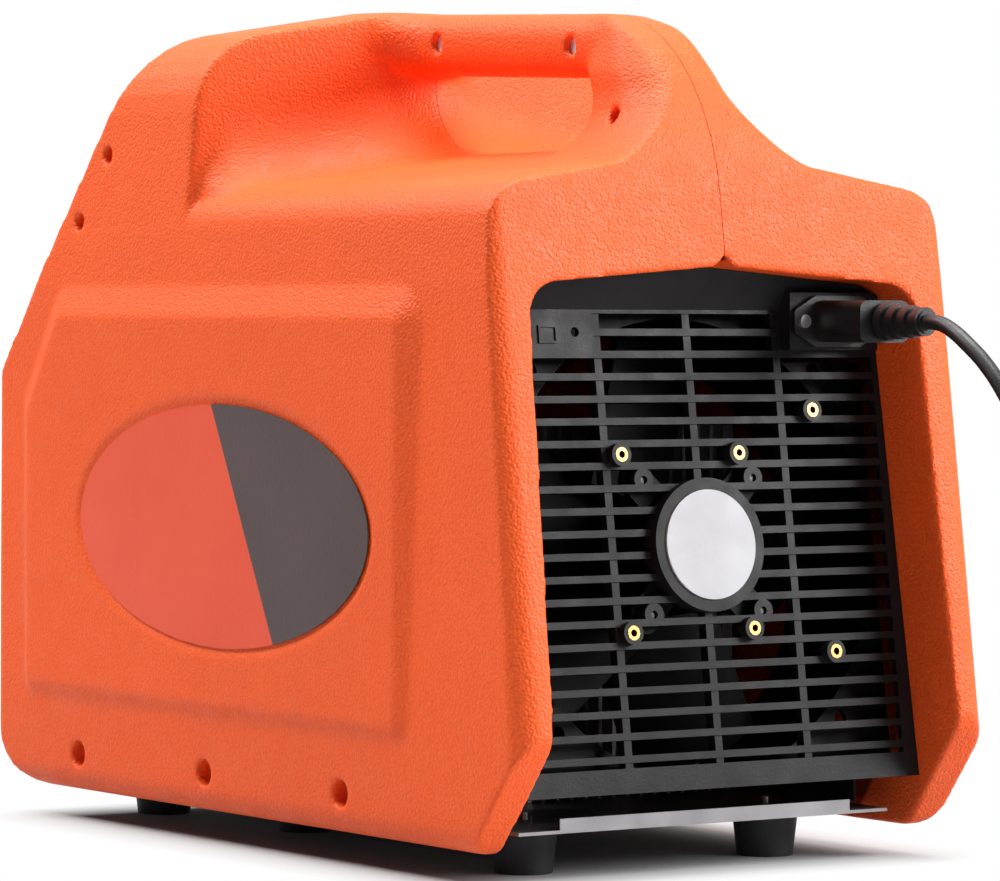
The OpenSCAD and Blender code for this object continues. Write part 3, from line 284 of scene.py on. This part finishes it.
looks = {
    "orange": moulding("orange_moulding", linear(243, 92, 32)),
    "dark_panel": satin("dark_panel", linear(24, 24, 26), 0.44, specular=0.2),
    "black": satin("black_moulding", linear(28, 27, 29), 0.36),
    "deep_black": satin("deep_black_moulding", linear(14, 14, 15), 0.5, specular=0.12),
    "print": satin("black_print", linear(26, 26, 28), 0.5),
    "rubber": satin("black_rubber", linear(34, 34, 35), 0.62, 600, 0.00015),
    "cord": satin("cord_rubber", linear(28, 28, 30), 0.42, 700, 0.00006),
    "disc": satin("white_disc", linear(172, 171, 176), 0.4, 500, 0.00003, 1.02),
    "white": satin("white_enamel", linear(228, 228, 226), 0.4, 500, 0.00003, 1.02),
    "red": satin("red_plastic", linear(176, 28, 22), 0.3),
    "blue": satin("blue_plastic", linear(28, 62, 150), 0.3),
    "steel": metal("zinc_steel", linear(226, 225, 228), 0.42),
    "plate": metal("zinc_sheet", linear(158, 155, 158), 0.4, (1, 14, 1), 60),
    "cast": metal("cast_aluminium", linear(176, 176, 178), 0.5, (1, 1, 1), 220),
    "brass": metal("turned_brass", linear(192, 142, 84), 0.26, (1, 1, 8), 200),
    "copper": metal("drawn_copper", linear(190, 110, 74), 0.3, (1, 6, 1), 90),
    "glass": glass_look(),
    "label": label_look(),
}

NODE_LOOKS = {
    "orange": ("left_shell", "right_shell"),
    "label": ("side_label",),
    "dark_panel": ("rear_grille", "front_panel"),
    "black": ("power_inlet", "cord_connector", "gauge_cases", "switch_frame", "breaker_body", "mode_knob",
              "motor_screws"),
    "deep_black": ("fan_shroud", "fan_rotor", "fan_motor", "compressor_motor", "low_needle",
                   "pressure_switch"),
    "rubber": ("feet", "rubber_mounts"),
    "cord": ("power_cord", "cord_coil", "mains_plug"),
    "disc": ("hub_disc",),
    "white": ("gauge_dials", "capacitor"),
    "red": ("high_needle", "outlet_knob", "rocker_switch", "reset_button"),
    "blue": ("inlet_knob",),
    "steel": ("shell_screws", "shroud_screws", "inlet_screws", "foot_screws", "fan_shaft", "plug_pins",
              "capacitor_clamp", "compressor_tray"),
    "plate": ("base_plate",),
    "cast": ("valve_block", "crankcase", "cylinders", "cylinder_heads", "condenser_core"),
    "brass": ("brass_inserts", "inlet_pins", "inlet_port", "outlet_port"),
    "copper": ("condenser_tubes", "suction_line", "discharge_line", "condenser_line"),
    "glass": ("gauge_lenses",),
}
for look_name, names in NODE_LOOKS.items():
    for name in names:
        nodes[name].data.materials.clear()
        nodes[name].data.materials.append(looks[look_name])


# Mesh helpers

def link_object(name, data, look=None):
    made = bpy.data.objects.new(name, data)
    scene.collection.objects.link(made)
    if look:
        data.materials.clear()
        data.materials.append(looks[look])
    return made


def made_mesh(name, shape):
    """Turns a finished bmesh into a mesh."""
    mesh = bpy.data.meshes.new(name)
    shape.to_mesh(mesh)
    shape.free()
    return mesh


def evaluated_mesh(piece):
    graph = bpy.context.evaluated_depsgraph_get()
    return bpy.data.meshes.new_from_object(piece.evaluated_get(graph))


def apply_modifiers(piece):
    mesh = evaluated_mesh(piece)
    piece.modifiers.clear()
    piece.data = mesh


def ramp(value, low, high):
    return min(1, max(0, (value - low) / (high - low)))


def smooth_piece(piece, rounds, weights=None):
    """Smooths a piece's mesh, everywhere or by a weight from 0 to 1 for each vertex."""
    smooth = piece.modifiers.new("radii", "SMOOTH")
    smooth.factor = 0.5
    smooth.iterations = rounds
    if weights:
        group = piece.vertex_groups.new(name="radii")
        for vertex in piece.data.vertices:
            group.add([vertex.index], weights(vertex.co), "REPLACE")
        smooth.vertex_group = group.name
    apply_modifiers(piece)
    piece.vertex_groups.clear()


def closed_cut(solid, place, way):
    """Cuts away what lies beyond a plane and closes the cut."""
    cut = bmesh.ops.bisect_plane(
        solid, geom=solid.verts[:] + solid.edges[:] + solid.faces[:], dist=CUT_TOLERANCE,
        plane_co=place, plane_no=way, clear_outer=True)
    rim = [edge for edge in cut["geom_cut"] if isinstance(edge, bmesh.types.BMEdge)]
    bmesh.ops.triangle_fill(solid, use_beauty=True, edges=rim)


# Case: both halves get the radii of a moulding together, then they are parted at the seam

def handle_softness(place):
    """How much the radii grow: fully round the handle and its scoop, not in the screw cups."""
    raised = ramp(place.z, *HANDLE_RISE)
    along = ramp(place.y, *HANDLE_FRONT) * ramp(HANDLE_END - place.y, 0, HANDLE_FADE)
    cups = [math.hypot(place.y - y, place.z - z) for y, z in HANDLE_CUPS]
    return raised * along * ramp(min(cups), *CUP_EDGE)


def foot_slab(node):
    """The thin wall round the foot of the handle's post, cut out of a shell."""
    slab = bmesh.new()
    slab.from_mesh(nodes[node].data)
    low, high = FOOT_BOX
    for axis in (1, 2):
        way = Vector((0, 0, 0))
        way[axis] = 1
        closed_cut(slab, high, way)
        closed_cut(slab, low, -way)
    return made_mesh("foot_slab", slab)


def oval_block(low, high):
    """A block on the outline of the label, a rim wider all round and reaching a little deeper."""
    block = bmesh.new()
    middle = (low + high) / 2
    points = []
    for i in range(OVAL_SIDES):
        turn = 2 * math.pi * i / OVAL_SIDES
        y = middle.y + ((high.y - low.y) / 2 + LABEL_RIM) * math.cos(turn)
        z = middle.z + ((high.z - low.z) / 2 + LABEL_RIM) * math.sin(turn)
        points.append(block.verts.new((low.x - LABEL_DROP, y, z)))
    floor = block.faces.new(points)
    raised = bmesh.ops.extrude_face_region(block, geom=[floor])
    moved = [item for item in raised["geom"] if isinstance(item, bmesh.types.BMVert)]
    bmesh.ops.translate(block, vec=(OVAL_REACH, 0, 0), verts=moved)
    bmesh.ops.recalc_face_normals(block, faces=block.faces[:])
    return made_mesh("oval_block", block)


def recessed_shell():
    """The left shell with the soft-edged recess that the label lies in."""
    block = link_object("oval_block", oval_block(*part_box("side_label")))
    shell = link_object("recessed_shell", nodes["left_shell"].data.copy())
    recess = shell.modifiers.new("recess", "BOOLEAN")
    recess.object = block
    mesh = evaluated_mesh(shell)
    for done in (shell, block):
        bpy.data.objects.remove(done)
    return mesh


def case_skin():
    """One mesh of both halves with rounded edges."""
    joined = bmesh.new()
    for node, shell in (("left_shell", recessed_shell()), ("right_shell", nodes["right_shell"].data)):
        joined.from_mesh(shell)
        for drop in FOOT_BACKING:
            backing = foot_slab(node)
            backing.transform(Matrix.Translation((0, 0, -drop)))
            joined.from_mesh(backing)
    piece = link_object("case_skin", made_mesh("case_skin", joined))
    remesh = piece.modifiers.new("skin", "REMESH")
    remesh.mode = "VOXEL"
    remesh.voxel_size = SKIN_VOXEL
    apply_modifiers(piece)
    smooth_piece(piece, EDGE_ROUNDS)
    smooth_piece(piece, HANDLE_ROUNDS, handle_softness)
    thin = piece.modifiers.new("thin", "DECIMATE")
    thin.ratio = SKIN_KEEP
    apply_modifiers(piece)
    return piece


def case_half(name, node, skin, side):
    """The part of the skin on one side of the seam, closed along its cut."""
    half = bmesh.new()
    half.from_mesh(skin.data)
    closed_cut(half, (side * SEAM_GAP / 2, 0, 0), (-side, 0, 0))
    mesh = made_mesh(name, half)
    mesh.shade_smooth()
    mesh.set_sharp_from_angle(angle=SHARP_ANGLE)
    piece = link_object(name, mesh, "orange")
    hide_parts(node)
    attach(piece, "machine")


def make_case():
    skin = case_skin()
    case_half("left_case", "left_shell", skin, 1)
    case_half("right_case", "right_shell", skin, -1)
    bpy.data.objects.remove(skin)


# Marks on the dials and the knobs

def dial_frame(side):
    """Matrix from a dial's own plane, x to the right and y up, to the shared frame."""
    mesh = nodes["gauge_dials"].data
    facing = [face for face in mesh.polygons if face.normal.y < 0 and face.center.x * side > 0]
    areas = {}
    for face in facing:
        way = tuple(round(value, 4) for value in face.normal)
        areas[way] = areas.get(way, 0) + face.area
    outward = Vector(max(areas, key=areas.get)).normalized()
    top = max(face.center.dot(outward) for face in facing)
    rim = set()
    for face in facing:
        if face.center.dot(outward) > top - DIAL_FLATNESS:
            rim.update(face.vertices)
    places = [mesh.vertices[i].co for i in rim]
    centre = Vector([(min(p[k] for p in places) + max(p[k] for p in places)) / 2 for k in range(3)])
    across = Vector((1, 0, 0))
    upward = outward.cross(across)
    turn = Matrix((across, upward, outward)).transposed().to_4x4()
    return Matrix.Translation(centre + outward * MARK_LIFT) @ turn


def numeral(value):
    """Flat mesh of a plain number, centred."""
    data = bpy.data.curves.new("numeral", "FONT")
    data.body = str(value)
    data.size = NUMERAL_H
    data.align_x = "CENTER"
    data.align_y = "CENTER"
    piece = link_object("numeral", data)
    mesh = evaluated_mesh(piece)
    bpy.data.objects.remove(piece)
    return mesh


def make_dial(name, side, step):
    """Scale of one gauge: small and large marks with numbers, along the needle's sweep."""
    marks = bmesh.new()
    count = SCALE_STEPS * FINE_STEPS
    for i in range(count + 1):
        turn = math.radians(SCALE_START - SCALE_SWEEP * i / count)
        large = i % FINE_STEPS == 0
        length, width = LARGE_MARK if large else SMALL_MARK
        spin = Matrix.Rotation(turn, 4, "Z")
        inner = SCALE_R - length
        half = width / 2
        corners = ((inner, -half), (inner, half), (SCALE_R, half), (SCALE_R, -half))
        marks.faces.new([marks.verts.new(spin @ Vector((x, y, 0))) for x, y in corners])
        if large:
            number = numeral(step * (i // FINE_STEPS))
            number.transform(Matrix.Translation((NUMERAL_R * math.cos(turn), NUMERAL_R * math.sin(turn), 0)))
            marks.from_mesh(number)
    bmesh.ops.recalc_face_normals(marks, faces=marks.faces[:])
    mesh = made_mesh(name, marks)
    mesh.transform(dial_frame(side))
    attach(link_object(name, mesh, "print"), "machine")


def make_pointer(knob):
    """White line on the front of a knob, upwards from near its middle."""
    low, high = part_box(knob)
    middle = (low + high) / 2
    half = POINTER_W / 2
    front = low.y - MARK_LIFT
    base, tip = middle.z + POINTER_START, high.z - POINTER_END
    mesh = bpy.data.meshes.new(knob + "_line")
    mesh.from_pydata(
        [(middle.x - half, front, base), (middle.x + half, front, base),
         (middle.x + half, front, tip), (middle.x - half, front, tip)],
        [], [(0, 1, 2, 3)])
    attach(link_object(knob + "_line", mesh, "white"), knob)


# Cord

def coil_points():
    """Turns beside and on each other: inwards on the floor, outwards on top, left on the far side."""
    count = int(COIL_TURNS * COIL_STEPS)
    points = []
    for i in range(1, count):
        share = i / count
        angle = 2 * math.pi * COIL_TURNS * share
        fold = abs(2 * share - 1)
        radius = COIL_R + COIL_SPREAD * fold + COIL_EXIT * ramp(fold, COIL_EXIT_FROM, 1)
        x = COIL_CENTRE_MM[0] + radius * math.cos(angle)
        y = COIL_CENTRE_MM[1] + radius * math.sin(angle)
        points.append((x, y, LOW_LAYER + LAYER_RISE * ramp(share, *LAYER_CHANGE)))
    return points


def make_cord():
    points = [Vector(p) * MM for p in ROUTE_MM + coil_points() + TAIL_MM]
    data = bpy.data.curves.new("cord_sheath", "CURVE")
    data.dimensions = "3D"
    data.bevel_depth = CORD_D / 2
    data.bevel_resolution = 5
    data.use_fill_caps = True
    data.resolution_u = 6
    spline = data.splines.new("BEZIER")
    spline.bezier_points.add(len(points) - 1)
    for point, place in zip(spline.bezier_points, points):
        point.co = place
        point.handle_left_type = "AUTO"
        point.handle_right_type = "AUTO"
    cord = link_object("cord_sheath", data, "cord")
    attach(cord, "machine")
    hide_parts("power_cord", "cord_coil")


# Camera, floor, backdrop and studio light

def aimed(spot, aim):
    """Rotation that looks from one place at another."""
    return (aim - spot).to_track_quat("-Z", "Y").to_matrix()


def place_camera():
    data = bpy.data.cameras.new("camera")
    data.sensor_width = CAMERA_SENSOR
    data.lens = CAMERA_LENS
    data.clip_end = CAMERA_FAR
    camera = link_object("camera", data)
    turn = aimed(CAMERA_SPOT, CAMERA_AIM) @ Matrix.Rotation(CAMERA_ROLL, 3, "Z")
    camera.matrix_world = Matrix.Translation(CAMERA_SPOT) @ turn.to_4x4()
    scene.camera = camera


def seen_rays(tree):
    """1 for rays that show the backdrop: from the camera, in reflections and through glass."""
    path = tree.nodes.new("ShaderNodeLightPath")
    value = path.outputs["Is Camera Ray"]
    for name in ("Is Glossy Ray", "Is Transmission Ray"):
        both = tree.nodes.new("ShaderNodeMath")
        both.operation = "MAXIMUM"
        tree.links.new(value, both.inputs[0])
        tree.links.new(path.outputs[name], both.inputs[1])
        value = both.outputs[0]
    return value


def backdrop_look():
    """Pale floor that keeps the object's shadow and turns to plain white further out."""
    look = Look("pale_floor", FLOOR_GREY, 0.9, 0, 0.1)
    place = look.place
    for operation, value in (("ABSOLUTE", (0, 0, 0)), ("SUBTRACT", FOOTPRINT), ("MAXIMUM", (0, 0, 0))):
        step = look.node("ShaderNodeVectorMath", operation=operation)
        step.inputs[1].default_value = value
        look.link(place, step.inputs[0])
        place = step.outputs[0]
    away = look.node("ShaderNodeVectorMath", operation="LENGTH")
    look.link(place, away.inputs[0])
    mask = look.node("ShaderNodeMath", operation="MULTIPLY")
    look.link(look.span(away.outputs["Value"], 0, WHITE_FROM), mask.inputs[0])
    look.link(seen_rays(look.tree), mask.inputs[1])
    white = look.node("ShaderNodeEmission")
    both = look.node("ShaderNodeMixShader")
    look.link(mask.outputs[0], both.inputs[0])
    look.link(look.shader.outputs[0], both.inputs[1])
    look.link(white.outputs[0], both.inputs[2])
    look.link(both.outputs[0], look.tree.nodes["Material Output"].inputs["Surface"])
    return look.material


def place_stage():
    data = bpy.data.meshes.new("floor")
    corners = [(-1, -1), (1, -1), (1, 1), (-1, 1)]
    data.from_pydata([(FLOOR_HALF * x, FLOOR_HALF * y, 0) for x, y in corners], [], [(0, 1, 2, 3)])
    floor = link_object("floor", data)
    data.materials.append(backdrop_look())


def place_world(level, dim):
    """White for the camera and behind glass.

    level is the soft light from all round; dim is what reflections see away from the backdrop.
    """
    world = bpy.data.worlds.new("studio")
    scene.world = world
    world.use_nodes = True
    tree = world.node_tree

    def chosen(fac, low, high):
        """From low to high as fac goes from 0 to 1; each is a number or a socket."""
        made = tree.nodes.new("ShaderNodeMapRange")
        tree.links.new(fac, made.inputs["Value"])
        for key, value in (("To Min", low), ("To Max", high)):
            if isinstance(value, float):
                made.inputs[key].default_value = value
            else:
                tree.links.new(value, made.inputs[key])
        return made.outputs["Result"]

    place = tree.nodes.new("ShaderNodeTexCoord")
    facing = tree.nodes.new("ShaderNodeVectorMath")
    facing.operation = "DOT_PRODUCT"
    facing.inputs[1].default_value = BACKDROP_WAY
    tree.links.new(place.outputs["Generated"], facing.inputs[0])
    path = tree.nodes.new("ShaderNodeLightPath")
    backdrop = chosen(facing.outputs["Value"], dim, 1.0)
    mirrored = chosen(path.outputs["Is Glossy Ray"], level, backdrop)
    through = chosen(path.outputs["Is Transmission Ray"], mirrored, 1.0)
    back = tree.nodes["Background"]
    back.inputs["Color"].default_value = (1, 1, 1, 1)
    tree.links.new(chosen(path.outputs["Is Camera Ray"], through, 1.0), back.inputs["Strength"])


def area_light(name, spot, aim, size, power):
    data = bpy.data.lights.new(name, "AREA")
    data.shape = "RECTANGLE"
    data.size, data.size_y = size
    data.energy = power
    light = link_object(name, data)
    light.matrix_world = Matrix.Translation(spot) @ aimed(Vector(spot), Vector(aim)).to_4x4()


# Pieces first, then the stage and its lights

make_dial("low_gauge_scale", -1, 2)
make_dial("high_gauge_scale", 1, 6)
for knob in ("mode_knob", "inlet_knob", "outlet_knob"):
    make_pointer(knob)
place_camera()
make_cord()
make_case()

place_stage()
place_world(level=0.07, dim=0.15)
area_light("fan_side_softbox", (-1.7, 1.85, 1.2), (0, 0.1, 0.2), (1.3, 1.3), 100)
area_light("long_side_softbox", (1.2, -1.0, 1.9), (0, 0, 0.2), (0.9, 0.9), 50)
area_light("top_softbox", (-0.1, 0.1, 2.2), (0, 0, 0.15), (1.3, 1.5), 68)
